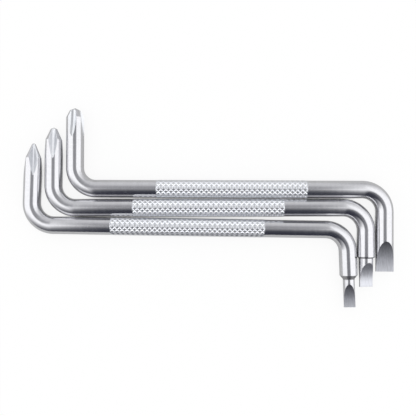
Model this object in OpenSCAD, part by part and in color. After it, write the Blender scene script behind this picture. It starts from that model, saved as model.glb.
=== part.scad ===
// Three nested offset screwdrivers, each bent from one length of round bar.
// A cross-point leg turns off one end of the bar and a flat blade leg off the other end.
// The bars lie along x, side by side on the plane z = 0, with the cross points toward +y.

/* [Round bar] */
// Diameter of the round bar that every driver is bent from
bar_d = 6; // [5.8:0.05:6.1]
// How much thicker the bar gets in a bend
bend_swell = 0.02; // [0.01:0.01:0.04]
// How far a straight stretch of bar runs on into a bend or into the grip
lap = 0.1; // [0.05:0.01:0.15]

/* [Knurled grip] */
// How far the crests of the knurl stand out of the bar
knurl_rise = 0.1; // [0.05:0.01:0.15]
// Depth of the knurl from a crest to the groove floor
knurl_depth = 0.26; // [0.2:0.02:0.4]
// Length of one diamond along the bar
knurl_pitch = 1.72; // [1.5:0.02:2]
// Number of diamonds in one ring round the bar
knurl_teeth = 11; // [9:1:13]

/* [Nest] */
// Gap between the small and the medium bar, where the medium bar's cross bend starts
small_side_gap = 0.1; // [0.05:0.05:0.4]
// Gap between the small and the medium cross leg, at the bends
small_cross_gap = 1.6; // [1:0.05:2.5]
// Gap between the small and the medium blade leg, at the bends
small_blade_gap = 0.5; // [0.45:0.05:1]
// Gap between the large and the medium grip, at the grip's end
large_side_gap = 0.1; // [0.05:0.05:0.4]
// Gap between the large and the medium cross leg
large_cross_gap = 1.4; // [1:0.05:2.5]
// Gap between the large and the medium blade leg
large_blade_gap = 0.35; // [0.1:0.05:1]
// Angle of the small bar from the x axis
small_tilt_angle = -0.9; // [-1.2:0.1:0]
// Angle of the large bar from the x axis
large_tilt_angle = -0.2; // [-0.4:0.1:0]

/* [Small driver] */
// Distance from the centreline of the cross leg to the knurled grip
small_grip_start = 27.3; // [24:0.1:30]
// Length of the knurled grip
small_grip_len = 52.5; // [48:0.5:56]

/* [Small cross point] */
// Reach of the leg from the centreline of the bar to the point
small_cross_reach = 27.9; // [26:0.1:30]
// Angle through which the bar is bent
small_cross_bend_angle = 91; // [90:0.1:91.5]
// Radius of the bend, to the centreline
small_cross_bend_r = 7.6; // [6.5:0.1:8.5]
// Angle of the upper flute from straight up
small_cross_clock_angle = -19; // [-45:1:45]
// Diameter of the blunt end
small_blunt_d = 1.3; // [1.1:0.05:1.5]
// Distance between opposite flute floors at the point
small_core_d = 1; // [0.8:0.05:1.2]
// Width of the obtuse floor of a flute
small_floor_w = 0.4; // [0.3:0.05:0.5]
// Included angle of the obtuse floor of a flute
small_floor_angle = 138; // [130:1:150]
// Distance from the point to the run-out of a flute
small_flute_len = 11; // [10:0.1:12]
// Radius of the milling wheel that leaves a flute
small_cutter_r = 32; // [28:1:40]

/* [Small blade] */
// Reach of the leg from the centreline of the bar to the blade's end
small_blade_reach = 26.5; // [25.5:0.1:28]
// Angle through which the bar is bent
small_blade_bend_angle = 87; // [86:0.1:88]
// Radius of the bend, to the centreline
small_blade_bend_r = 7.6; // [6.5:0.1:8.5]
// Angle of the blade's face from straight up
small_blade_clock_angle = -8; // [-45:1:45]
// Diameter of the turned neck, which is also the width of the blade
small_neck_d = 3.9; // [3.5:0.05:4.5]
// Length of the turned neck
small_neck_len = 9.7; // [9.4:0.1:11]
// Length of the chamfer from the neck up to the bar
small_chamfer_len = 1.3; // [0.8:0.1:1.6]
// Thickness of the blade at its end
small_blade_t = 0.8; // [0.7:0.05:1]
// Distance from the blade's end to the top of the ground face
small_face_len = 8; // [7:0.1:8.4]
// Radius of the grinding wheel that hollows the faces
small_grind_r = 21; // [12:0.5:30]

/* [Medium driver] */
// Middle of the bar along x
medium_x = 0.5; // [0:0.05:2]
// Middle of the bar along y
medium_y = 0.05; // [0:0.05:2]
// Distance between the centrelines of the two legs, at the bends
medium_span = 107; // [95:0.5:125]
// Distance from the centreline of the cross leg to the knurled grip
medium_grip_start = 27.3; // [24:0.1:30]
// Length of the knurled grip
medium_grip_len = 51.6; // [48:0.1:56]

/* [Medium cross point] */
// Reach of the leg from the centreline of the bar to the point
medium_cross_reach = 27.4; // [26:0.1:30]
// Angle through which the bar is bent
medium_cross_bend_angle = 90.5; // [90:0.1:91]
// Radius of the bend, to the centreline
medium_cross_bend_r = 7.5; // [6.5:0.1:8.5]
// Angle of the upper flute from straight up
medium_cross_clock_angle = -8; // [-45:1:45]
// Diameter of the blunt end
medium_blunt_d = 2.3; // [2.1:0.05:2.5]
// Distance between opposite flute floors at the point
medium_core_d = 1.6; // [1.4:0.05:1.8]
// Width of the obtuse floor of a flute
medium_floor_w = 0.7; // [0.5:0.05:0.9]
// Included angle of the obtuse floor of a flute
medium_floor_angle = 140; // [130:1:150]
// Distance from the point to the run-out of a flute
medium_flute_len = 10.6; // [10:0.1:12]
// Radius of the milling wheel that leaves a flute
medium_cutter_r = 38; // [30:1:46]

/* [Medium blade] */
// Reach of the leg from the centreline of the bar to the blade's end
medium_blade_reach = 27; // [26:0.1:28]
// Angle through which the bar is bent
medium_blade_bend_angle = 90; // [89.8:0.1:90.2]
// Radius of the bend, to the centreline
medium_blade_bend_r = 7.9; // [6.5:0.1:8.5]
// Angle of the blade's face from straight up
medium_blade_clock_angle = 13; // [-45:1:45]
// Diameter of the turned neck, which is also the width of the blade
medium_neck_d = 4.75; // [4.5:0.05:5.2]
// Length of the turned neck
medium_neck_len = 9.9; // [9:0.1:11]
// Length of the chamfer from the neck up to the bar
medium_chamfer_len = 0.3; // [0.2:0.1:0.8]
// Thickness of the blade at its end
medium_blade_t = 0.9; // [0.8:0.05:1.1]
// Distance from the blade's end to the top of the ground face
medium_face_len = 8.25; // [7:0.05:8.5]
// Radius of the grinding wheel that hollows the faces
medium_grind_r = 11.5; // [10:0.5:16]

/* [Large driver] */
// Distance from the centreline of the cross leg to the knurled grip
large_grip_start = 27.9; // [24:0.1:30]
// Length of the knurled grip
large_grip_len = 51.4; // [48:0.1:56]

/* [Large cross point] */
// Reach of the leg from the centreline of the bar to the point
large_cross_reach = 27.5; // [26:0.1:30]
// Angle through which the bar is bent
large_cross_bend_angle = 90; // [89.5:0.1:90.5]
// Radius of the bend, to the centreline
large_cross_bend_r = 7.2; // [6.5:0.1:8.5]
// Angle of the upper flute from straight up
large_cross_clock_angle = 9; // [-45:1:45]
// Diameter of the blunt end
large_blunt_d = 3.6; // [3.4:0.05:4]
// Distance between opposite flute floors at the point
large_core_d = 2.7; // [2.4:0.05:2.9]
// Width of the obtuse floor of a flute
large_floor_w = 1.4; // [1:0.05:1.6]
// Included angle of the obtuse floor of a flute
large_floor_angle = 146; // [135:1:155]
// Distance from the point to the run-out of a flute
large_flute_len = 9.9; // [9:0.1:11]
// Radius of the milling wheel that leaves a flute
large_cutter_r = 40; // [34:1:50]

/* [Large blade] */
// Reach of the leg from the centreline of the bar to the blade's end
large_blade_reach = 28; // [26:0.1:29]
// Angle through which the bar is bent
large_blade_bend_angle = 89.8; // [89.6:0.1:90]
// Radius of the bend, to the centreline
large_blade_bend_r = 7.6; // [6.5:0.1:8.5]
// Angle of the blade's face from straight up
large_blade_clock_angle = -4; // [-45:1:45]
// Thickness of the blade at its end
large_blade_t = 1.1; // [0.9:0.05:1.3]
// Distance from the blade's end to the top of the ground face
large_face_len = 10.4; // [9:0.1:11]
// Radius of the grinding wheel that hollows the faces
large_grind_r = 30; // [20:0.5:40]

/* [Cross point form] */
// Half angle of the cone that points a cross point
point_half_angle = 26.5; // [24:0.5:30]
// Half angle of the shallow cone on its blunt end
blunt_half_angle = 66; // [60:1:80]
// Included angle between the walls of a flute
flute_angle = 92; // [88:1:96]

/* [Hidden] */
$fn = 64;
bar_r = bar_d / 2;
crest_r = bar_r + knurl_rise;
root_r = crest_r - knurl_depth;
flutes = 4;
faces = 2;

// Where the centrelines of bar and legs cross, from the medium driver outwards
medium_cross_x = medium_x - medium_span / 2;
medium_blade_x = medium_x + medium_span / 2;
small_cross_x = medium_cross_x - bar_d - small_cross_gap;
small_blade_x = medium_blade_x - bar_d - small_blade_gap;
large_cross_x = medium_cross_x + bar_d + large_cross_gap;
large_blade_x = medium_blade_x + bar_d + large_blade_gap;
small_span = (small_blade_x - small_cross_x) / cos(small_tilt_angle);
large_span = (large_blade_x - large_cross_x) / cos(large_tilt_angle);

// Where the small and the large bar pass closest to the medium one
small_pass_x = medium_cross_x + medium_cross_bend_r;
large_pass_x = medium_cross_x + medium_grip_start + medium_grip_len;
small_cross_y = medium_y - bar_d - small_side_gap
    - (small_pass_x - small_cross_x) * tan(small_tilt_angle);
large_cross_y = medium_y + 2 * crest_r + large_side_gap
    - (large_pass_x - large_cross_x) * tan(large_tilt_angle);

// Centre of a wheel of radius r whose rim runs through points a and b of a leg's outline.
// A point is its distance from the leg's end and its distance from the leg's axis.
function wheel_centre(r, a, b) =
    let (chord = b - a, half = norm(chord) / 2)
    (a + b) / 2 + sqrt(r * r - half * half) * [-chord.y, chord.x] / norm(chord);

// Place of a wheel beside a leg, with the wheel's axis square to the leg
module beside_leg(r, start, finish) {
    at = wheel_centre(r, start, finish);
    translate([at.y, 0, at.x])
        rotate([90, 0, 0])
            children();
}

// Diamond knurl along x: pyramids on a lattice of crossed grooves, sunk at both ends
module knurl(len) {
    rows = 2 * round(len / knurl_pitch);
    sides = 2 * knurl_teeth;
    function is_crest(row, side) = row > 0 && row < rows && (row + side) % 2 == 0;
    function at(row, side) = row * sides + side % sides;
    corners = [
        for (row = [0:rows], side = [0:sides - 1])
            let (r = is_crest(row, side) ? crest_r : root_r, angle = 360 * side / sides)
            [(row / rows - 0.5) * len, r * sin(angle), -r * cos(angle)]
    ];
    slopes = [
        for (row = [0:rows - 1], side = [0:sides - 1])
            let (
                a = at(row, side),
                b = at(row, side + 1),
                c = at(row + 1, side + 1),
                d = at(row + 1, side)
            )
            each (row + side) % 2 == 0 ? [[a, d, b], [c, b, d]] : [[b, a, c], [d, c, a]]
    ];
    ends = [
        [for (side = [0:sides - 1]) at(0, side)],
        [for (side = [sides - 1:-1:0]) at(rows, side)]
    ];
    polyhedron(points = corners, faces = concat(slopes, ends));
}

// Straight bar along x between two places, with a lap at both ends
module bar(from, to) {
    translate([from - lap, 0, 0])
        rotate([0, 90, 0])
            cylinder(d = bar_d, h = to - from + 2 * lap);
}

// Bend at the end of a bar along x, with the leg as its child.
// The two centrelines cross at the origin. The child has its end at its own origin
// and runs back to the bend along z, with x up.
module bent_end(bend_r, turn, reach) {
    tangent = bend_r * tan(turn / 2);
    $leg_len = reach - tangent + lap;
    translate([-tangent, -bend_r, 0])
        rotate(90 - turn)
            rotate_extrude(angle = turn)
                translate([bend_r, 0])
                    circle(d = bar_d + bend_swell);
    rotate(-turn)
        translate([reach, 0, 0])
            rotate([0, -90, 0])
                children();
}

// Leg with a cross point: four flutes milled into a blunt cone
module cross_leg(clock, blunt_d, core_d, floor_w, floor_angle, flute_len, cutter_r) {
    blunt_h = blunt_d / 2 / tan(blunt_half_angle);
    cone_h = (bar_d - blunt_d) / 2 / tan(point_half_angle);
    floor_r = cutter_r - floor_w / 2 / tan(floor_angle / 2);
    wall_r = floor_r - (bar_d - floor_w / 2) / tan(flute_angle / 2);
    rotate(clock)
        difference() {
            rotate(180 / flutes)
                rotate_extrude()
                    polygon([
                        [0, 0],
                        [blunt_d / 2, blunt_h],
                        [bar_r, blunt_h + cone_h],
                        [bar_r, $leg_len],
                        [0, $leg_len]
                    ]);
            for (flute = [0:flutes - 1])
                rotate(360 / flutes * flute)
                    beside_leg(cutter_r, [0, core_d / 2], [flute_len, bar_r])
                        rotate_extrude()
                            polygon([
                                [0, -bar_d],
                                [wall_r, -bar_d],
                                [floor_r, -floor_w / 2],
                                [cutter_r, 0],
                                [floor_r, floor_w / 2],
                                [wall_r, bar_d],
                                [0, bar_d]
                            ]);
        }
}

// Leg with a flat blade: two hollow faces ground into a neck, or into the bar itself
module blade_leg(clock, neck_d, neck_len, chamfer_len, blade_t, face_len, grind_r) {
    neck = neck_d < bar_d ? [[neck_d / 2, neck_len], [bar_r, neck_len + chamfer_len]] : [];
    rotate(clock)
        difference() {
            rotate(180 / faces)
                rotate_extrude()
                    polygon(concat(
                        [[0, 0], [neck_d / 2, 0]],
                        neck,
                        [[bar_r, $leg_len], [0, $leg_len]]
                    ));
            for (face = [0:faces - 1])
                rotate(360 / faces * face)
                    beside_leg(grind_r, [0, blade_t / 2], [face_len, neck_d / 2])
                        cylinder(r = grind_r, h = 2 * bar_d, center = true);
        }
}

// Driver lying flat with its bar along x: the grip, the plain bar on both sides of it, and
// the two bent ends. The centrelines of bar and cross leg meet at the origin.
// The first child is the cross leg and the second one the blade leg.
module driver(span, grip_start, grip_len, cross_bend_r, cross_turn, cross_reach,
        blade_bend_r, blade_turn, blade_reach) {
    grip_end = grip_start + grip_len;
    rotate(180)
        bent_end(cross_bend_r, cross_turn, cross_reach)
            children(0);
    bar(cross_bend_r * tan(cross_turn / 2), grip_start);
    translate([grip_start + grip_len / 2, 0, 0])
        knurl(grip_len);
    bar(grip_end, span - blade_bend_r * tan(blade_turn / 2));
    translate([span, 0, 0])
        bent_end(blade_bend_r, blade_turn, blade_reach)
            children(1);
}

// Smallest cross point at one end, and a blade on a chamfered neck at the other
module small_driver() {
    color("silver")
        translate([small_cross_x, small_cross_y, crest_r])
            rotate(small_tilt_angle)
                driver(small_span, small_grip_start, small_grip_len,
                        small_cross_bend_r, small_cross_bend_angle, small_cross_reach,
                        small_blade_bend_r, small_blade_bend_angle, small_blade_reach) {
                    cross_leg(small_cross_clock_angle, small_blunt_d, small_core_d, small_floor_w,
                        small_floor_angle, small_flute_len, small_cutter_r);
                    blade_leg(small_blade_clock_angle, small_neck_d, small_neck_len,
                        small_chamfer_len, small_blade_t, small_face_len, small_grind_r);
                }
}

// Middle cross point at one end, and a blade on a stepped neck at the other
module medium_driver() {
    color("silver")
        translate([medium_cross_x, medium_y, crest_r])
            driver(medium_span, medium_grip_start, medium_grip_len,
                    medium_cross_bend_r, medium_cross_bend_angle, medium_cross_reach,
                    medium_blade_bend_r, medium_blade_bend_angle, medium_blade_reach) {
                cross_leg(medium_cross_clock_angle, medium_blunt_d, medium_core_d, medium_floor_w,
                    medium_floor_angle, medium_flute_len, medium_cutter_r);
                blade_leg(medium_blade_clock_angle, medium_neck_d, medium_neck_len,
                    medium_chamfer_len, medium_blade_t, medium_face_len, medium_grind_r);
            }
}

// Largest cross point at one end, and a blade ground into the full bar at the other
module large_driver() {
    color("silver")
        translate([large_cross_x, large_cross_y, crest_r])
            rotate(large_tilt_angle)
                driver(large_span, large_grip_start, large_grip_len,
                        large_cross_bend_r, large_cross_bend_angle, large_cross_reach,
                        large_blade_bend_r, large_blade_bend_angle, large_blade_reach) {
                    cross_leg(large_cross_clock_angle, large_blunt_d, large_core_d, large_floor_w,
                        large_floor_angle, large_flute_len, large_cutter_r);
                    blade_leg(large_blade_clock_angle, bar_d, 0, 0,
                        large_blade_t, large_face_len, large_grind_r);
                }
}

small_driver();
medium_driver();
large_driver();
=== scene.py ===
"""A nested set of three offset screwdrivers, bent from round bar, on a pale floor."""
import math
import bpy
import numpy as np
from bpy.props import FloatProperty, FloatVectorProperty, IntProperty, PointerProperty
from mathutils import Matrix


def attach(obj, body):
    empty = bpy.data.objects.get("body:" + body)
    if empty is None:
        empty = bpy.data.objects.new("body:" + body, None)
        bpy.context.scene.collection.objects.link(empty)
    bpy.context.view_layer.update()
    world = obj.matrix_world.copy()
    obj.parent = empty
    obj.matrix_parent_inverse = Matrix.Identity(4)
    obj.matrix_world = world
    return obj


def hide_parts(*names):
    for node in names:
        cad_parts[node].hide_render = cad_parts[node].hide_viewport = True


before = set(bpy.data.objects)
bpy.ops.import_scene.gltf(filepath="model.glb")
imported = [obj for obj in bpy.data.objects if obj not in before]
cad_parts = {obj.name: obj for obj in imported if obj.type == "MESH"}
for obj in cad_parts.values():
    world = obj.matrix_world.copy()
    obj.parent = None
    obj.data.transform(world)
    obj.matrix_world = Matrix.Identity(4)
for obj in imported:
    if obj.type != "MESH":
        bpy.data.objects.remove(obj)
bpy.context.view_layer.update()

bl_info = {
    "name": "Nested offset screwdrivers",
    "version": (1, 0, 0),
    "blender": (4, 5, 0),
    "location": "3D View > Sidebar > Drivers",
    "description": "Bent drivers with knurled grips, milled cross points and ground blades",
    "category": "Object",
}

MM = 0.001
DRIVERS = ("small", "medium", "large")

# points in each ring of a driver, and the angle between them where they are even
COLUMNS = 132
EVEN_STEP = 2 * math.pi / COLUMNS
# columns over half a flute's floor, over one of its walls, and over the land between two flutes
FLOOR_COLUMNS, WALL_COLUMNS = 2, 5
FLUTE_COLUMNS = FLOOR_COLUMNS + WALL_COLUMNS
LAND_COLUMNS = COLUMNS // 4 - 2 * FLUTE_COLUMNS
# columns over half a ground face, and over the round edge from one face to the other
FACE_COLUMNS = 20
SIDE_COLUMNS = COLUMNS // 2 - 2 * FACE_COLUMNS
# over this length past a flute or a face, uneven columns go back to even ones
RELAX_LEN = 4 * MM
# a flute or a face spans at least this angle on either side of its middle, and a flute's floor
# at most this share of the flute
LEAST_ANGLE = math.radians(1)
FLOOR_MOST = 0.45
# a point is milled from this depth on, and ground up to this share of a face's half angle
CUT_LEAST = 0.0002 * MM
FACE_SHARE = 0.9999
# times that an interval is halved, to find where two surfaces meet
HALVINGS = 40

# distance from ring to ring on the tips, the neck, the cross leg and the bar, and the angle
# from ring to ring on a bend
TIP_STEP = 0.2 * MM
NECK_STEP = 0.3 * MM
LEG_STEP = 0.5 * MM
BAR_STEP = 1.2 * MM
BEND_STEP = math.radians(3.2)
# a ring closer than this share of a step to one that has to be there is left out
CROWDED = 0.35
# rings to one diamond of the knurl, and the gap between the knurl's rings and the plain bar's
DIAMOND_RINGS = 12
KNURL_GAP = 0.03 * MM
# places of rings, as shares of the blunt end's height and of the step from neck to bar
BLUNT_SHARES = (0, 0.5, 0.75, 0.88)
STEP_SHARES = (0, 0.04, 0.12, 0.25, 0.4, 0.6, 0.8, 1)
# widths of the rings that close the blade's end, and how far apart the finish takes them to be
END_SHARES = (0.96, 0.5, 0)
END_STEP = 0.01 * MM

# bevel at the blade's end, and how far past the step its painted shade reaches on either side, and
# the turned finish on the neck's side
END_BEVEL = 0.04 * MM
STEP_SHADE_REACH = 0.15 * MM
# roundness of the knurl's floors and crests, and half diamonds over which its ends roll over
KNURL_ROUND = 0.06
ROLL_ROWS = 0.9
# shares of a ground face, from the blade's end, at which its painted shade begins, is halfway to
# the heel's painted shade, and is all of it
PAINTED_HEEL_PLACES = (0.4, 0.7, 1)
# the wrap map is about as wide as the bar is round, in millimetres
WRAP_ROUND = 18
SHARP_ANGLE = math.radians(24)

# finishes, by the numbers that they have in a driver's mesh
FINISHES = ("satin_chrome_bar", "knurled_grip", "milled_flute", "ground_face", "turned_step")
BAR, KNURL, MILLED, GROUND, TURNED = range(len(FINISHES))
# height of the grain, and the values of its noise at which the colour is darkest and full
GRAIN_HEIGHT = 0.01 * MM
GRAIN_STOPS = ((0.3, 0), (0.7, 1))

# greys of the light tent from front to back: degrees from straight up, share of white
STRIP_GREYS = [(-90, 0.025), (-65, 0.03), (-45, 0.04), (-30, 0.06), (-15, 0.16), (0, 0.27),
               (15, 0.27), (30, 0.33), (50, 0.52), (90, 0.58)]
PANEL_GREYS = [(-90, 0.04), (-70, 0.09), (-50, 0.2), (-30, 0.49), (-18, 0.86), (-10, 1),
               (20, 0.97), (40, 0.75), (60, 0.56), (90, 0.28)]
# where the strip is narrower, from front to back: degrees from straight up, share of the pinch
SLOT_PINCH = [(-11, 0), (-4, 1), (5, 1), (12, 0)]
# share of the tent's haze that its green gets, where its blue gets all of it
HAZE_GREEN = 1 / 8
# shade of the floor in a slit: share of the sky that it sees, share of its plain white; and
# the rays that look for the sky
SLIT_SHADE = ((0.035, 0), (0.1, 1))
SHADE_SAMPLES = 16
# side of the picture in pixels, and how many of them show a millimetre of the bars
PICTURE_SIDE = 416
PIXELS_PER_MM = 2.92
# width of the camera's sensor in millimetres, and the nearest thing that it sees
SENSOR_WIDTH = 36
NEAR_CLIP = 10 * MM


# Sizes

def length(label, what, mm):
    """A length property whose default is given in millimetres."""
    return FloatProperty(name=label, description=what, default=mm * MM, precision=5,
                         unit="LENGTH", subtype="DISTANCE")


def angle(label, what, degrees):
    """An angle property whose default is given in degrees."""
    return FloatProperty(name=label, description=what, default=math.radians(degrees),
                         subtype="ANGLE")


def portion(label, what, value):
    """A property from 0 to 1."""
    return FloatProperty(name=label, description=what, default=value, min=0, max=1)


def tint(label, what, red, green, blue):
    """A colour property."""
    return FloatVectorProperty(name=label, description=what, subtype="COLOR",
                               default=(red, green, blue))


class BarSizes(bpy.types.PropertyGroup):
    """Sizes that the three drivers share."""
    bar_d: length("Bar", "Diameter of the round bar", 6)
    knurl_rise: length("Crest rise", "How far the knurl's crests stand out of the bar", 0.1)
    knurl_depth: length("Knurl depth", "From a crest to a groove floor", 0.26)
    knurl_pitch: length("Diamond length", "Length of one diamond along the bar", 1.72)
    knurl_teeth: IntProperty(name="Diamonds round", default=11, min=9, max=13,
                             description="Diamonds in one ring round the bar")
    knurl_flat: FloatProperty(name="Crest flat", default=0.3, min=0, max=0.6,
                              description="Share of a diamond that is left uncut")
    point_half_angle: angle("Point cone", "Half angle of the cone of a cross point", 26.5)
    blunt_half_angle: angle("Blunt cone", "Half angle of the shallow cone on the blunt end", 66)
    flute_angle: angle("Flute angle", "Included angle between a flute's walls", 92)


# name, kind, label and description of each size, and its value for each of DRIVERS
DRIVER_SIZES = [
    ("corner_x", length, "Corner along x", "Where the centrelines of bar and cross leg meet",
     -60.6, -53, -45.6),
    ("corner_y", length, "Corner along y", "Where the centrelines of bar and cross leg meet",
     -5.8128, 0.05, 6.5996),
    ("tilt", angle, "Tilt", "Angle of the bar from the x axis", -0.9, 0, -0.2),
    ("span", length, "Span", "Distance between the corners, along the bar",
     108.1133, 107, 105.9506),
    ("grip_start", length, "Grip start", "From the cross leg's centreline to the grip",
     27.3, 27.3, 27.9),
    ("grip_len", length, "Grip length", "Length of the knurled grip", 52.5, 51.6, 51.4),
    ("cross_reach", length, "Cross reach", "From the bar's centreline to the point",
     27.9, 27.4, 27.5),
    ("cross_bend_angle", angle, "Cross bend angle", "Angle through which the bar is bent",
     91, 90.5, 90),
    ("cross_bend_r", length, "Cross bend radius", "Radius of the bend's centreline",
     7.6, 7.5, 7.2),
    ("cross_clock", angle, "Cross clock", "Angle of the upper flute from straight up", -19, -8, 9),
    ("blunt_d", length, "Blunt end", "Diameter of the blunt end", 1.3, 2.3, 3.6),
    ("core_d", length, "Core", "Distance between opposite flute floors at the point",
     1, 1.6, 2.7),
    ("floor_w", length, "Flute floor", "Width of a flute's obtuse floor", 0.4, 0.7, 1.4),
    ("floor_angle", angle, "Floor angle", "Included angle of a flute's floor", 138, 140, 146),
    ("flute_len", length, "Flute length", "From the point to a flute's run-out", 11, 10.6, 9.9),
    ("cutter_r", length, "Cutter radius", "Radius of the milling wheel", 32, 38, 40),
    ("blade_reach", length, "Blade reach", "From the bar's centreline to the blade's end",
     26.5, 27, 28),
    ("blade_bend_angle", angle, "Blade bend angle", "Angle through which the bar is bent",
     87, 90, 89.8),
    ("blade_bend_r", length, "Blade bend radius", "Radius of the bend's centreline",
     7.6, 7.9, 7.6),
    ("blade_clock", angle, "Blade clock", "Angle of the blade's face from straight up",
     -8, 13, -4),
    ("neck_d", length, "Neck", "Diameter of the neck and width of the blade", 3.9, 4.75, 6),
    ("neck_len", length, "Neck length", "Length of the turned neck", 9.7, 9.9, 0),
    ("chamfer_len", length, "Chamfer", "Length of the chamfer from neck to bar", 1.3, 0.3, 0),
    ("shoulder_round", portion, "Shoulder round",
     "How far the chamfer is rolled over, as a share", 0, 1, 0),
    ("blade_t", length, "Blade thickness", "Thickness of the blade at its end", 0.8, 0.9, 1.1),
    ("face_len", length, "Face length", "From the blade's end to the top of a ground face",
     8, 8.25, 10.4),
    ("grind_r", length, "Grinding radius", "Radius of the grinding wheel", 21, 11.5, 30),
    # painted shade: a ground face's colour is darkened toward its heel down to this brightness
    ("heel_tone", portion, "Heel tone", "Brightness of a ground face at its top",
     0.42, 0.85, 0.36),
    # painted shade: the step's colour is darkened to this brightness, standing in for the shade in
    # its corner
    ("step_tone", portion, "Step tone", "Brightness of the step from neck to bar",
     0.55, 0.12, 1),
]


def driver_sizes(which):
    """A property group for one driver, with the sizes and values of DRIVER_SIZES."""
    props = {key: make(label, what, values[DRIVERS.index(which)])
             for key, make, label, what, *values in DRIVER_SIZES}
    return type(f"{which.title()}DriverSizes", (bpy.types.PropertyGroup,),
                {"__annotations__": props, "__doc__": f"Sizes of the {which} driver."})


class DriverFinish(bpy.types.PropertyGroup):
    """Colours of the finishes."""
    chrome: tint("Satin chrome", "Colour of the plated bar", 0.795, 0.795, 0.815)
    knurl: tint("Knurl", "Colour of the knurled grip", 0.9, 0.915, 0.945)
    ground: tint("Ground face", "Colour of the ground blade faces", 0.93, 0.945, 1)
    milled: tint("Milled flute", "Colour of the milled flutes", 0.95, 0.965, 0.99)


class StageSetting(bpy.types.PropertyGroup):
    """Floor, light tent and camera."""
    floor_size: length("Floor", "Side of the square floor", 6000)
    floor_grey: portion("Floor grey", "How pale the matt floor is", 0.5)
    floor_white: portion("Floor white", "Share of plain white in the floor as seen", 0.87)
    floor_glow: portion("Floor in metal", "Share of plain white in the floor as mirrored", 0.18)
    slit_depth: length("Slit depth", "How far round itself the floor looks for shade", 12)
    tent_size: length("Tent", "Side of the square light tent", 80000)
    tent_height: length("Tent height", "Height of the light tent over the floor", 370)
    tent_light: FloatProperty(name="Tent light", description="Brightness of the white panels",
                              default=1.25, min=0, max=2)
    slot_half: angle("Slot", "Angle from straight up to a white panel's edge", 21.5)
    slot_pinch: angle("Slot pinch", "How far the panels reach in, straight overhead", 1.5)
    slot_soft: angle("Slot softness", "Half width of the panels' soft edges", 4)
    tent_haze: portion("Tent haze", "How much more blue than red the tent has", 0.015)
    camera_height: length("Camera", "From the bars' centrelines to the camera", 190)
    view_width: length("View width", "Width seen at the bars' centrelines",
                       PICTURE_SIDE / PIXELS_PER_MM)
    view_x: length("View along x", "Place of the camera along x", -0.05)
    view_y: length("View along y", "Place of the camera along y", -0.05)


# Surface of a driver

def bar_centre(bar):
    """Height of the bars' centrelines over the floor."""
    return bar.bar_d / 2 + bar.knurl_rise


def eased(past):
    """With s = past / RELAX_LEN held between 0 and 1, the smooth step s^2 (3 - 2 s)."""
    share = np.clip(past / RELAX_LEN, 0, 1)
    return share * share * (3 - 2 * share)


def rolled(rise):
    """Height of a quarter circle, 0 to 1, for rise from 0 to 1: sqrt(rise (2 - rise))."""
    return np.sqrt(rise * (2 - rise))


def halved(low, high, holds):
    """Narrows low to high, by halving, to the place up to which holds is true."""
    for _ in range(HALVINGS):
        middle = (low + high) / 2
        held = holds(middle)
        low, high = np.where(held, middle, low), np.where(held, high, middle)
    return low, high


def wheel_floor(t, wheel_r, rim_r, start, finish):
    """Distance from a leg's axis to a wheel's rim of radius rim_r, at the distances t from the
    leg's end: centre - sqrt(rim_r^2 - (t - centre_t)^2), where a rim of radius wheel_r about
    the same centre runs through the points start and finish (distance from end, from axis)."""
    a, b = np.array(start), np.array(finish)
    chord = b - a
    half = np.hypot(*chord) / 2
    normal = np.array([-chord[1], chord[0]]) / np.hypot(*chord)
    centre_t, centre = (a + b) / 2 + math.sqrt(wheel_r**2 - half**2) * normal
    return centre - np.sqrt(np.maximum(rim_r**2 - (t - centre_t) ** 2, 0))


def half_steps(edges, counts):
    """Angles from 0 outwards that split the stretches between edges[k] and edges[k + 1] into
    counts[k] equal steps. The edges are arrays over the rows."""
    parts = [edges[0][:, None]]
    for low, high, count in zip(edges, edges[1:], counts):
        share = np.arange(1, count + 1) / count
        parts.append(low[:, None] + (high - low)[:, None] * share)
    return np.concatenate(parts, axis=1)


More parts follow.
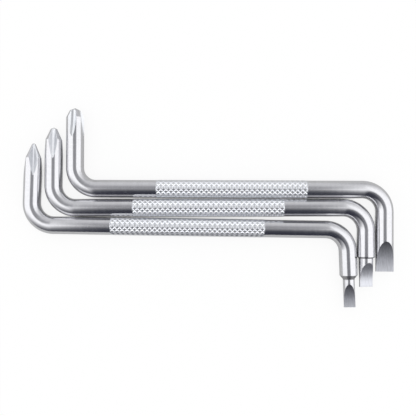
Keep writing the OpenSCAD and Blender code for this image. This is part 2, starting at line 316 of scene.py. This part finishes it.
def cross_section(t, bar, size):
    """Angles and radii of a cross-point leg at the distances t from its point, and where it is
    milled. The radius at angle p from a flute's middle is the lesser of the coned bar's radius
    and the r where r cos(p) = floor(t, r sin(p)), the rim of a wheel with an obtuse floor."""
    bar_r = bar.bar_d / 2
    blunt_r = size.blunt_d / 2
    blunt_h = blunt_r / math.tan(bar.blunt_half_angle)
    cone_h = (bar_r - blunt_r) / math.tan(bar.point_half_angle)
    blank = np.interp(t, [0, blunt_h, blunt_h + cone_h], [0, blunt_r, bar_r])
    half_w = size.floor_w / 2
    floor_drop = half_w / math.tan(size.floor_angle / 2)
    wall_slope = 1 / math.tan(bar.flute_angle / 2)

    def rim(rows, side):
        """Height of the flute over the axis at a distance side from the flute's middle."""
        cut = np.abs(side)
        drop = np.where(cut < half_w, cut / half_w * floor_drop,
                        floor_drop + (cut - half_w) * wall_slope)
        return wheel_floor(rows, size.cutter_r, size.cutter_r - drop,
                           (0, size.core_d / 2), (size.flute_len, bar_r))

    # angle at which the flute meets the blank, which on the blunt end is that of its rim
    reach, row = np.maximum(blank, blunt_r), np.maximum(t, blunt_h)
    wing, _ = halved(np.zeros_like(t), np.full_like(t, math.pi / 4),
                     lambda p: reach * np.cos(p) > rim(row, reach * np.sin(p)))
    wing = np.where(t < size.flute_len, wing, 0)
    floor_edge = np.arctan2(half_w, rim(row, half_w))
    wing_edge = np.maximum(wing, LEAST_ANGLE)
    wing_edge = wing_edge + (FLUTE_COLUMNS * EVEN_STEP - wing_edge) * eased(t - size.flute_len)
    floor_edge = np.where(wing > LEAST_ANGLE, np.minimum(floor_edge, wing_edge * FLOOR_MOST),
                          wing_edge * FLOOR_COLUMNS / FLUTE_COLUMNS)
    quarter = np.full_like(t, math.pi / 2)
    edges = [np.zeros_like(t), floor_edge, wing_edge,
             quarter - wing_edge, quarter - floor_edge, quarter]
    counts = [FLOOR_COLUMNS, WALL_COLUMNS, LAND_COLUMNS, WALL_COLUMNS, FLOOR_COLUMNS]
    phi = half_steps(edges, counts)[:, :-1]
    off = np.minimum(phi, math.pi / 2 - phi)
    # radius of the flute along each ray
    rows = np.repeat(t[:, None], off.shape[1], 1)
    outer = np.repeat(blank[:, None], off.shape[1], 1)
    near, far = halved(np.zeros_like(off), outer,
                       lambda r: r * np.cos(off) < rim(rows, r * np.sin(off)))
    rho = (near + far) / 2
    turns = np.arange(4) * math.pi / 2
    theta = (phi[:, None, :] + turns[None, :, None]).reshape(len(t), COLUMNS)
    milled = rho < blank[:, None] - CUT_LEAST
    return math.pi + size.cross_clock + theta, np.tile(rho, (1, 4)), np.tile(milled, (1, 4))


def blade_section(t, bar, size):
    """Angles and radii of a blade leg at the distances t from its end, and where it is ground.
    The radius at angle p from a face's middle is the lesser of the turned outline's radius and
    h(t) / cos(p), where h is the grinding wheel's rim."""
    bar_r, neck_r = bar.bar_d / 2, size.neck_d / 2
    outline = np.interp(t, [0, END_BEVEL], [neck_r - END_BEVEL, neck_r])
    if size.neck_len > 0:
        # the step's cone, rolled over into the bar
        rise = np.clip((t - size.neck_len) / size.chamfer_len, 0, 1)
        round_off = rise + size.shoulder_round * (rolled(rise) - rise)
        outline = outline + (bar_r - neck_r) * round_off
    thick = wheel_floor(t, size.grind_r, size.grind_r,
                        (0, size.blade_t / 2), (size.face_len, neck_r))
    thick = np.minimum(thick - np.clip(END_BEVEL - t, 0, None), outline)
    thick = np.where(t < size.face_len, thick, outline)
    relax = eased(t - size.face_len)
    face_edge = np.maximum(np.arccos(np.clip(thick / outline, -1, 1)), LEAST_ANGLE)
    face_edge = face_edge + (FACE_COLUMNS * EVEN_STEP - face_edge) * relax
    # even steps across the flat of a face, even angles round an edge
    relax, face_edge = relax[:, None], face_edge[:, None]
    share = np.arange(FACE_COLUMNS + 1) / FACE_COLUMNS
    flat = np.arctan(np.tan(face_edge) * share)
    flat = np.where(t[:, None] < size.face_len, flat,
                    face_edge * share * relax + flat * (1 - relax))
    side = (math.pi - 2 * face_edge) * np.arange(1, SIDE_COLUMNS) / SIDE_COLUMNS
    phi = np.concatenate([flat, face_edge + side, math.pi - flat[:, ::-1]], axis=1)[:, :-1]
    off = np.minimum(phi, math.pi - phi)
    on_flat = off < face_edge * FACE_SHARE
    rho = np.minimum(thick[:, None] / np.cos(off), outline[:, None])
    rho = np.where(on_flat, rho, outline[:, None])
    ground = on_flat & (t[:, None] < size.face_len)
    theta = np.concatenate([phi, phi + math.pi], axis=1)
    return math.pi - size.blade_clock + theta, np.tile(rho, (1, 2)), np.tile(ground, (1, 2))


def knurl_section(x, grip_len, bar):
    """Radii of the knurl at the distances x from the grip's start, and which way its squares
    are split. Two families of grooves cross: with p and q the lattice's diagonal counts, the
    height is 1 - 2 max(|p - round p|, |q - round q|), cut off flat at the crests. At both ends
    the height over the plain bar falls to nothing on a quarter circle."""
    bar_r = bar.bar_d / 2
    crest = bar_r + bar.knurl_rise
    rows = 2 * round(grip_len / bar.knurl_pitch)
    sides = 2 * bar.knurl_teeth
    a = (x / grip_len * rows)[:, None]
    b = (np.arange(COLUMNS) / COLUMNS * sides)[None, :]
    p, q = (a + b) / 2, (a - b) / 2
    groove = 2 * np.maximum(np.abs(p - np.round(p)), np.abs(q - np.round(q)))
    height = np.clip((1 - groove) / (1 - bar.knurl_flat), 0, 1)
    height = height - KNURL_ROUND * np.sin(2 * math.pi * height)
    rho = crest - bar.knurl_depth * (1 - height)
    rise = np.clip(np.minimum(a, rows - a) / ROLL_ROWS, 0, 1)
    rho = bar_r + (rho - bar_r) * rolled(rise)
    # each square of the grid is split along the groove that its middle lies beside
    step = rows / (len(x) - 1) / 2
    p, q = p + step / 2 + sides / COLUMNS / 4, q + step / 2 - sides / COLUMNS / 4
    return rho, np.abs(p - np.round(p)) > np.abs(q - np.round(q))


def spaced(start, finish, step, keep=()):
    """Places from start to finish about step apart, with the places in keep among them."""
    count = max(math.ceil(abs(finish - start) / step), 1)
    places = np.linspace(start, finish, count + 1)
    if keep:
        keep = np.array([k for k in keep if min(start, finish) < k < max(start, finish)])
        near = np.abs(places[:, None] - keep[None, :]).min(axis=1) < CROWDED * step
        near[[0, -1]] = False
        places = np.sort(np.concatenate([places[~near], keep]))
    return places


def driver_rows(bar, size):
    """All rings of a driver, from its cross point to its blade: middle of each ring, heading
    of the path there, angles, radii, path length, finish, and which way the squares after it
    are split."""
    bar_r = bar.bar_d / 2
    cross_tan = size.cross_bend_r * math.tan(size.cross_bend_angle / 2)
    blade_tan = size.blade_bend_r * math.tan(size.blade_bend_angle / 2)
    even = np.arange(COLUMNS) * 2 * math.pi / COLUMNS
    parts = []

    def add(middle, heading, theta, rho, along, finish, slant=False):
        """Adds rings, at the distances along. What they share may be given once."""
        shape = (len(along), COLUMNS)
        parts.append((middle, np.broadcast_to(heading, len(along)),
                      np.broadcast_to(theta, shape), np.broadcast_to(rho, shape), along,
                      np.broadcast_to(finish, shape), np.broadcast_to(slant, shape)))

    def on_bar(x):
        """Points on the bar's centreline, at the distances x from the cross leg's."""
        return np.stack([x, 0 * x], 1)

    def arc(bend):
        """Points of a unit circle, turned by bend from straight up."""
        return np.stack([np.sin(bend), np.cos(bend)], 1)

    # cross leg, from the point to the bend
    leg, turn = size.cross_reach - cross_tan, size.cross_bend_angle
    blunt_h = size.blunt_d / 2 / math.tan(bar.blunt_half_angle)
    cone_end = blunt_h + (bar_r - size.blunt_d / 2) / math.tan(bar.point_half_angle)
    t = np.concatenate([
        np.array(BLUNT_SHARES) * blunt_h,
        spaced(blunt_h, size.flute_len, TIP_STEP, (cone_end,)),
        spaced(size.flute_len, leg, LEG_STEP)[1:],
    ])
    out = np.array([-math.cos(turn), math.sin(turn)])
    theta, rho, milled = cross_section(t, bar, size)
    rho[0] = 0
    add(out * (size.cross_reach - t)[:, None], -turn, theta, rho, t,
        np.where(milled, MILLED, BAR))
    # cross bend, along which the columns turn to the nearest place on the knurl's lattice
    index = round(size.cross_clock / EVEN_STEP)
    shift = index * EVEN_STEP
    bend = spaced(turn, 0, BEND_STEP)[1:]
    centre = np.array([cross_tan, size.cross_bend_r])
    middle = centre - size.cross_bend_r * arc(bend)
    share = ((turn - bend) / turn)[:, None]
    twist = size.cross_clock + (shift - size.cross_clock) * share
    along = leg + size.cross_bend_r * (turn - bend)
    add(middle, -bend, math.pi + twist + even, bar_r, along, BAR)
    path = leg + size.cross_bend_r * turn
    # plain bar
    x = spaced(cross_tan, size.grip_start - KNURL_GAP, BAR_STEP)[1:]
    add(on_bar(x), 0, math.pi + shift + even, bar_r, path + x - cross_tan, BAR)
    # knurl
    steps = DIAMOND_RINGS * round(size.grip_len / bar.knurl_pitch)
    x = np.linspace(0, size.grip_len, steps + 1)
    rho, slant = knurl_section(x, size.grip_len, bar)
    add(on_bar(size.grip_start + x), 0, math.pi + shift + even, np.roll(rho, -index, 1),
        path + size.grip_start - cross_tan + x, KNURL, np.roll(slant, -index, 1))
    # plain bar, along which the columns turn to the blade's face
    grip_end = size.grip_start + size.grip_len
    blade_start = size.span - blade_tan
    blade_shift = -size.blade_clock
    x = spaced(grip_end + KNURL_GAP, blade_start, BAR_STEP)
    share = np.clip((x - grip_end) / (blade_start - grip_end), 0, 1)[:, None]
    twist = shift + (blade_shift - shift) * share
    add(on_bar(x), 0, math.pi + twist + even, bar_r, path + x - cross_tan, BAR)
    path = path + blade_start - cross_tan
    # blade bend
    turn = size.blade_bend_angle
    bend = spaced(0, turn, BEND_STEP)[1:]
    centre = np.array([blade_start, -size.blade_bend_r])
    middle = centre + size.blade_bend_r * arc(bend)
    add(middle, -bend, math.pi + blade_shift + even, bar_r, path + size.blade_bend_r * bend, BAR)
    path = path + size.blade_bend_r * turn
    # blade leg, from the bend to the blade's end
    leg = size.blade_reach - blade_tan
    keep = ()
    if size.neck_len > 0:
        on_step = [size.neck_len + size.chamfer_len * share for share in STEP_SHARES]
        keep = (size.neck_len - STEP_SHADE_REACH, *on_step)
    t = np.concatenate([
        [0, END_BEVEL],
        spaced(END_BEVEL, size.face_len, TIP_STEP)[1:],
        spaced(size.face_len, leg, NECK_STEP, keep)[1:],
    ])[::-1][1:]
    out = np.array([math.cos(turn), -math.sin(turn)])
    middle = np.array([size.span, 0]) + out * (size.blade_reach - t)[:, None]
    theta, rho, ground = blade_section(t, bar, size)
    # the turned finish, with the step's painted shade, reaches a little onto the neck
    turned = (t > size.neck_len - STEP_SHADE_REACH) & (t < size.neck_len + size.chamfer_len)
    finish = np.where(ground, GROUND, np.where(turned, TURNED, BAR)[:, None])
    add(middle, -turn, theta, rho, path + leg - t, finish)
    # flat end of the blade
    count = len(END_SHARES)
    add(np.repeat(middle[-1:], count, 0), -turn, theta[-1:],
        rho[-1:] * np.array(END_SHARES)[:, None],
        path + leg + END_STEP * np.arange(1, count + 1), GROUND)
    return [np.concatenate(column) for column in zip(*parts)]


def driver_surface(bar, size):
    """Points of a driver, one ring after another: middle + r cos(a) up + r sin(a) side, with
    the side square to the path's heading in the plane of the bar. The second result is the
    same bar drawn out straight, which the finishes are laid on. The last one is how clean the
    ground faces and the turned step are at each ring: duller at a face's heel, full at the
    blade's end."""
    middle, heading, theta, rho, along, finish, slant = driver_rows(bar, size)
    side = np.stack([np.sin(heading), -np.cos(heading)], 1)
    flat = middle[:, None, :] + (rho * np.sin(theta))[:, :, None] * side[:, None, :]
    c, s = math.cos(size.tilt), math.sin(size.tilt)
    x = size.corner_x + c * flat[..., 0] - s * flat[..., 1]
    y = size.corner_y + s * flat[..., 0] + c * flat[..., 1]
    z = bar_centre(bar) + rho * np.cos(theta)
    points = np.stack([x, y, z], -1)
    # off the grip, a square is split along its shorter diagonal
    after = np.roll(points, -1, 1)
    across = np.linalg.norm(after[:-1] - points[1:], axis=-1)
    down = np.linalg.norm(points[:-1] - after[1:], axis=-1)
    slant = np.where(finish == KNURL, slant, np.pad(across < down, ((0, 1), (0, 0))))
    straight = np.stack([rho * np.cos(theta), rho * np.sin(theta),
                         np.broadcast_to(along[:, None], rho.shape)], -1)
    from_end = along[-1] - along
    # painted shade, darkening each ground face from the blade's end toward its heel
    halfway = (1 + size.heel_tone) / 2
    painted_shade = np.interp(from_end / size.face_len, PAINTED_HEEL_PLACES, (1, halfway, size.heel_tone))
    # painted shade over the turned step and a little past it on either side
    if size.neck_len > 0:
        reach = STEP_SHADE_REACH + size.chamfer_len / 2
        turned = np.abs(from_end - size.neck_len - size.chamfer_len / 2) < reach
        painted_shade = np.where(turned, size.step_tone, painted_shade)
    return points, straight, finish, along, slant, painted_shade


def grid_mesh(name, points, straight, finish, along, slant, painted_shade):
    """A closed mesh of triangles from rings of points, whose first and last ring are single
    poles. A square of the grid is split from corner to corner, along its slant."""
    rings, columns = points.shape[:2]
    chosen = np.concatenate([[0], np.arange(columns, (rings - 1) * columns + 1)])
    order = np.full((rings, columns), len(chosen) - 1)
    order[0] = 0
    order[1:-1] = 1 + np.arange((rings - 2) * columns).reshape(-1, columns)
    # corners of a square: a and b on its ring, c and d on the ring after it
    i, j = np.meshgrid(np.arange(rings - 1), np.arange(columns), indexing="ij")
    a, b = np.stack([i, j], -1), np.stack([i, j + 1], -1)
    c, d = np.stack([i + 1, j + 1], -1), np.stack([i + 1, j], -1)
    lean = slant[:-1, :, None, None]
    first = np.where(lean, np.stack([a, b, d], 2), np.stack([a, b, c], 2))
    second = np.where(lean, np.stack([b, c, d], 2), np.stack([a, c, d], 2))
    # a pole's ring keeps only the triangles that have a width
    first, second = first[1:], second[:-1]
    grid = np.concatenate([first.reshape(-1, 3, 2), second.reshape(-1, 3, 2)])
    kind = np.maximum(finish, np.roll(finish, -1, 1))
    kind = np.maximum(kind[:-1], kind[1:])
    kind = np.concatenate([kind[1:].ravel(), kind[:-1].ravel()])
    corners = order[grid[..., 0], grid[..., 1] % columns].ravel()
    uv = np.stack([grid[..., 1] / columns * WRAP_ROUND, along[grid[..., 0]] / MM], -1)
    mesh = bpy.data.meshes.new(name)
    mesh.vertices.add(len(chosen))
    mesh.vertices.foreach_set("co", points.reshape(-1, 3)[chosen].astype(np.float32).ravel())
    mesh.loops.add(len(corners))
    mesh.loops.foreach_set("vertex_index", corners.astype(np.int32))
    mesh.polygons.add(len(corners) // 3)
    mesh.polygons.foreach_set("loop_start", np.arange(0, len(corners), 3, dtype=np.int32))
    mesh.polygons.foreach_set("material_index", kind.astype(np.int32))
    layer = mesh.uv_layers.new(name="wrap")
    layer.data.foreach_set("uv", uv.astype(np.float32).ravel())
    attribute = mesh.attributes.new("straight", "FLOAT_VECTOR", "POINT")
    attribute.data.foreach_set("vector", straight.reshape(-1, 3)[chosen]
                               .astype(np.float32).ravel())
    # painted shade, a brightness that the shaded finishes multiply their colour by
    attribute = mesh.attributes.new("painted_shade", "FLOAT", "POINT")
    attribute.data.foreach_set("value", np.repeat(painted_shade, columns)[chosen].astype(np.float32))
    mesh.update(calc_edges=True)
    mesh.validate()
    mesh.shade_smooth()
    mesh.set_sharp_from_angle(angle=SHARP_ANGLE)
    return mesh


# Finishes

class Shader:
    """Shorthand for the nodes of one material."""

    def __init__(self, name):
        self.material = bpy.data.materials.new(name)
        self.material.use_nodes = True
        self.nodes = self.material.node_tree.nodes
        self.links = self.material.node_tree.links
        self.nodes.clear()

    def node(self, kind, inputs=None, **settings):
        """Adds a node, sets its properties, and sets or links its inputs."""
        node = self.nodes.new("ShaderNode" + kind)
        for key, value in settings.items():
            setattr(node, key, value)
        for key, value in (inputs or {}).items():
            if isinstance(value, bpy.types.NodeSocket):
                self.links.new(value, node.inputs[key])
            else:
                node.inputs[key].default_value = value
        return node

    def ramp(self, value, *stops, haze=0.0):
        """A colour ramp over value, with (place, grey) stops that each have haze more blue
        than red."""
        node = self.node("ValToRGB", {"Fac": value})
        ramp = node.color_ramp
        while len(ramp.elements) < len(stops):
            ramp.elements.new(0.5)
        for element, (place, grey) in zip(ramp.elements, stops):
            element.position = place
            element.color = (grey, grey + haze * HAZE_GREEN, grey + haze, 1)
        return node.outputs["Color"]

    def scaled(self, value, low, high):
        """Takes 0 to 1 over to low to high."""
        node = self.node("MapRange", {"Value": value, "To Min": low, "To Max": high})
        return node.outputs["Result"]


def satin(name, colour, grain, roughness, scale, bump, fine, streak=0.0, with_painted_shade=False):
    """Metal with a grain laid on the bar drawn out straight. A noise stretched by scale takes
    the colour down by up to the share grain and moves the roughness within its range, and one
    that is fine times finer tilts the surface. A streak spreads the highlights one way, and a
    toned finish is multiplied by the mesh's attribute clean."""
    shader = Shader(name)
    place = shader.node("Attribute", attribute_name="straight", attribute_type="GEOMETRY")
    stretch = shader.node("Mapping", {"Vector": place.outputs["Vector"], "Scale": scale})
    coarse = shader.node("TexNoise", {"Vector": stretch.outputs["Vector"], "Scale": 1.0,
                                      "Detail": 3.0, "Roughness": 0.6})
    grainy = shader.node("Mapping", {"Vector": place.outputs["Vector"],
                                     "Scale": tuple(fine * s for s in scale)})
    close = shader.node("TexNoise", {"Vector": grainy.outputs["Vector"], "Scale": 1.0,
                                     "Detail": 2.0})
    bumped = shader.node("Bump", {"Height": close.outputs["Fac"], "Strength": bump,
                                  "Distance": GRAIN_HEIGHT})
    tone = shader.node("MixRGB", {"Fac": shader.ramp(coarse.outputs["Fac"], *GRAIN_STOPS),
                                  "Color1": (*[c * (1 - grain) for c in colour], 1),
                                  "Color2": (*colour, 1)})
    surface = shader.node("BsdfPrincipled", {
        "Base Color": tone.outputs["Color"],
        "Roughness": shader.scaled(coarse.outputs["Fac"], *roughness),
        "Normal": bumped.outputs["Normal"],
        "Metallic": 1.0,
        "Anisotropic": streak,
    })
    # painted shade: the colour is multiplied by the mesh's painted shade attribute
    if with_painted_shade:
        painted_shade = shader.node("Attribute", attribute_name="painted_shade", attribute_type="GEOMETRY")
        shaded = shader.node("MixRGB", {"Fac": 1.0, "Color1": tone.outputs["Color"],
                                        "Color2": painted_shade.outputs["Fac"]},
                             blend_type="MULTIPLY")
        shader.links.new(shaded.outputs["Color"], surface.inputs["Base Color"])
    if streak:
        # light spreads round the bar, square to the marks that run along it
        around = shader.node("Tangent", direction_type="UV_MAP", uv_map="wrap")
        shader.links.new(around.outputs["Tangent"], surface.inputs["Tangent"])
    shader.node("OutputMaterial", {"Surface": surface.outputs["BSDF"]})
    return shader.material


def finishes(colours):
    """The finishes of a driver, in the order of FINISHES."""
    made = bpy.data.materials
    if FINISHES[BAR] not in made:
        satin(FINISHES[BAR], colours.chrome, grain=0.06, roughness=(0.12, 0.2),
              scale=(300, 300, 1200), bump=0.05, fine=6)
        satin(FINISHES[KNURL], colours.knurl, grain=0.05, roughness=(0.14, 0.21),
              scale=(900, 900, 900), bump=0.05, fine=4)
        satin(FINISHES[MILLED], colours.milled, grain=0.08, roughness=(0.3, 0.4),
              scale=(2500, 2500, 260), bump=0.08, fine=2)
        # the ground faces and the turned step carry painted shade
        satin(FINISHES[GROUND], colours.ground, grain=0.25, roughness=(0.27, 0.33),
              scale=(3200, 3200, 130), bump=0.12, fine=2, streak=1.0, with_painted_shade=True)
        satin(FINISHES[TURNED], colours.chrome, grain=0.1, roughness=(0.2, 0.3),
              scale=(600, 600, 4000), bump=0.08, fine=2, with_painted_shade=True)
    return [made[name] for name in FINISHES]


# Stage

def sheet(name, half, height, material):
    """A level square of the stage, whose sides are twice half long."""
    mesh = bpy.data.meshes.new(name)
    corners = [(-half, -half, height), (half, -half, height), (half, half, height),
               (-half, half, height)]
    mesh.from_pydata(corners, [], [(0, 1, 2, 3)])
    mesh.materials.append(material)
    made = bpy.data.objects.new(name, mesh)
    bpy.context.scene.collection.objects.link(made)
    return made


def floor_material(stage):
    """A pale matt floor that the camera sees as white, with the shadow left in it. In a slit
    that hardly any light gets into, it stays dark, for the camera and in the metal."""
    shader = Shader("pale_floor")
    path = shader.node("LightPath")
    pale = shader.node("MixRGB", {"Fac": path.outputs["Is Camera Ray"],
                                  "Color1": (stage.floor_grey,) * 3 + (1,),
                                  "Color2": (1, 1, 1, 1)})
    matt = shader.node("BsdfDiffuse", {"Color": pale.outputs["Color"]})
    white = shader.node("Emission", {"Strength": 1.0})
    open_sky = shader.node("AmbientOcclusion", {"Distance": stage.slit_depth},
                           samples=SHADE_SAMPLES)
    lit = shader.ramp(open_sky.outputs["AO"], *SLIT_SHADE)
    seen = shader.node("Math", {0: path.outputs["Is Camera Ray"], 1: stage.floor_white},
                       operation="MULTIPLY")
    both = shader.node("Math", {0: path.outputs["Is Glossy Ray"], 1: stage.floor_glow,
                                2: seen.outputs["Value"]}, operation="MULTIPLY_ADD")
    share = shader.node("Math", {0: both.outputs["Value"], 1: lit}, operation="MULTIPLY")
    mixed = shader.node("MixShader", {0: share.outputs["Value"], 1: matt.outputs["BSDF"],
                                      2: white.outputs["Emission"]})
    shader.node("OutputMaterial", {"Surface": mixed.outputs["Shader"]})
    return shader.material


def tent_material(stage):
    """What the metal mirrors overhead, laid out by the angle from straight up: white panels on
    the left and right, and between them a grey strip that darkens toward the front and is a
    little narrower straight overhead."""
    shader = Shader("light_tent")
    place = shader.node("TexCoord")
    flat = shader.node("VectorMath", {0: place.outputs["Object"], 1: (1, 1, 0)},
                       operation="MULTIPLY")
    reach = shader.node("VectorMath", {0: flat.outputs["Vector"]}, operation="LENGTH")
    tip = shader.node("Math", {0: reach.outputs["Value"], 1: stage.tent_height},
                      operation="ARCTAN2")
    heading = shader.node("VectorMath", {0: flat.outputs["Vector"]}, operation="NORMALIZE")
    angles = shader.node("VectorMath", {0: heading.outputs["Vector"],
                                        "Scale": tip.outputs["Value"]}, operation="SCALE")
    axes = shader.node("SeparateXYZ", {"Vector": angles.outputs["Vector"]})
    front_to_back = shader.node("MapRange", {"Value": axes.outputs["Y"],
                                             "From Min": -math.pi / 2,
                                             "From Max": math.pi / 2}).outputs["Result"]

    def by_angle(stops, haze=0.0):
        """A ramp whose stops are given in degrees from straight up."""
        return shader.ramp(front_to_back, *[((v + 90) / 180, grey) for v, grey in stops],
                           haze=haze)

    strip = by_angle(STRIP_GREYS, stage.tent_haze)
    panel = by_angle(PANEL_GREYS, stage.tent_haze)
    half = shader.scaled(by_angle(SLOT_PINCH), stage.slot_half,
                         stage.slot_half - stage.slot_pinch)
    inner = shader.node("Math", {0: half, 1: stage.slot_soft}, operation="SUBTRACT")
    outer = shader.node("Math", {0: half, 1: stage.slot_soft}, operation="ADD")
    off = shader.node("Math", {0: axes.outputs["X"]}, operation="ABSOLUTE")
    edge = shader.node("MapRange", {"Value": off.outputs["Value"],
                                    "From Min": inner.outputs["Value"],
                                    "From Max": outer.outputs["Value"]},
                       interpolation_type="SMOOTHSTEP")
    tone = shader.node("MixRGB", {"Fac": edge.outputs["Result"], "Color1": strip,
                                  "Color2": panel})
    glow = shader.node("Emission", {"Color": tone.outputs["Color"],
                                    "Strength": stage.tent_light})
    shader.node("OutputMaterial", {"Surface": glow.outputs["Emission"]})
    return shader.material


# Operators

def make_driver(context, which):
    """Builds one driver's surface in place of its solid and lets it ride on its body."""
    scene = context.scene
    made = driver_surface(scene.driver_bar, getattr(scene, f"{which}_driver_sizes"))
    mesh = grid_mesh(f"{which}_driver_skin", *made)
    piece = bpy.data.objects.new(f"{which}_driver_skin", mesh)
    scene.collection.objects.link(piece)
    for material in finishes(scene.driver_finish):
        mesh.materials.append(material)
    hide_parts(f"{which}_driver")
    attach(piece, which)
    return {"FINISHED"}


class DRIVERS_OT_small(bpy.types.Operator):
    """Make the small driver, with its chamfered neck"""
    bl_idname = "drivers.small"
    bl_label = "Small driver"

    def execute(self, context):
        return make_driver(context, "small")


class DRIVERS_OT_medium(bpy.types.Operator):
    """Make the medium driver, with its stepped neck"""
    bl_idname = "drivers.medium"
    bl_label = "Medium driver"

    def execute(self, context):
        return make_driver(context, "medium")


class DRIVERS_OT_large(bpy.types.Operator):
    """Make the large driver, with its blade ground in the full bar"""
    bl_idname = "drivers.large"
    bl_label = "Large driver"

    def execute(self, context):
        return make_driver(context, "large")


class DRIVERS_OT_stage(bpy.types.Operator):
    """Make the floor, the light tent and the camera"""
    bl_idname = "drivers.stage"
    bl_label = "Floor, light and camera"

    def execute(self, context):
        scene, stage = context.scene, context.scene.driver_stage
        sheet("pale_floor", stage.floor_size / 2, 0, floor_material(stage))
        tent = sheet("light_tent", stage.tent_size / 2, stage.tent_height, tent_material(stage))
        # only the metal's reflections show the tent
        for ray in ("camera", "diffuse", "transmission", "volume_scatter", "shadow"):
            setattr(tent, f"visible_{ray}", False)
        world = bpy.data.worlds.new("studio")
        scene.world = world
        world.use_nodes = True
        world.node_tree.nodes["Background"].inputs["Color"].default_value = (1, 1, 1, 1)
        camera = bpy.data.objects.new("camera", bpy.data.cameras.new("camera"))
        scene.collection.objects.link(camera)
        scene.camera = camera
        camera.data.sensor_width = SENSOR_WIDTH
        camera.data.lens = SENSOR_WIDTH * stage.camera_height / stage.view_width
        camera.data.clip_start = NEAR_CLIP
        camera.location = (stage.view_x, stage.view_y,
                           bar_centre(scene.driver_bar) + stage.camera_height)
        scene.view_settings.view_transform = "Standard"
        return {"FINISHED"}


class DRIVERS_PT_panel(bpy.types.Panel):
    """Lists the drivers' sizes and the steps that make them"""
    bl_label = "Nested drivers"
    bl_idname = "DRIVERS_PT_panel"
    bl_space_type = "VIEW_3D"
    bl_region_type = "UI"
    bl_category = "Drivers"

    def draw(self, context):
        scene, layout = context.scene, self.layout

        def list_group(place, group):
            """Lists all properties of a group."""
            column = place.column(align=True)
            for key in group.__annotations__:
                column.prop(group, key)

        list_group(layout, scene.driver_bar)
        list_group(layout, scene.driver_finish)
        for which in DRIVERS:
            box = layout.box()
            box.operator(f"drivers.{which}")
            list_group(box, getattr(scene, f"{which}_driver_sizes"))
        layout.operator("drivers.stage")
        list_group(layout, scene.driver_stage)


GROUPS = {"driver_bar": BarSizes, "driver_finish": DriverFinish,
          "driver_stage": StageSetting,
          **{f"{which}_driver_sizes": driver_sizes(which) for which in DRIVERS}}
CLASSES = [*GROUPS.values(), DRIVERS_OT_small, DRIVERS_OT_medium, DRIVERS_OT_large,
           DRIVERS_OT_stage, DRIVERS_PT_panel]


def register():
    """Registers the classes and gives the scene its groups of sizes."""
    for made in CLASSES:
        bpy.utils.register_class(made)
    for key, group in GROUPS.items():
        setattr(bpy.types.Scene, key, PointerProperty(type=group))


def unregister():
    """Takes the groups and the classes away again."""
    for key in GROUPS:
        delattr(bpy.types.Scene, key)
    for made in reversed(CLASSES):
        bpy.utils.unregister_class(made)


def main():
    """Makes the whole scene and writes the CAD's box and the made one's."""
    register()
    bpy.ops.drivers.small()
    bpy.ops.drivers.medium()
    bpy.ops.drivers.large()
    bpy.ops.drivers.stage()
    bpy.context.view_layer.update()


if __name__ == "__main__":
    main()
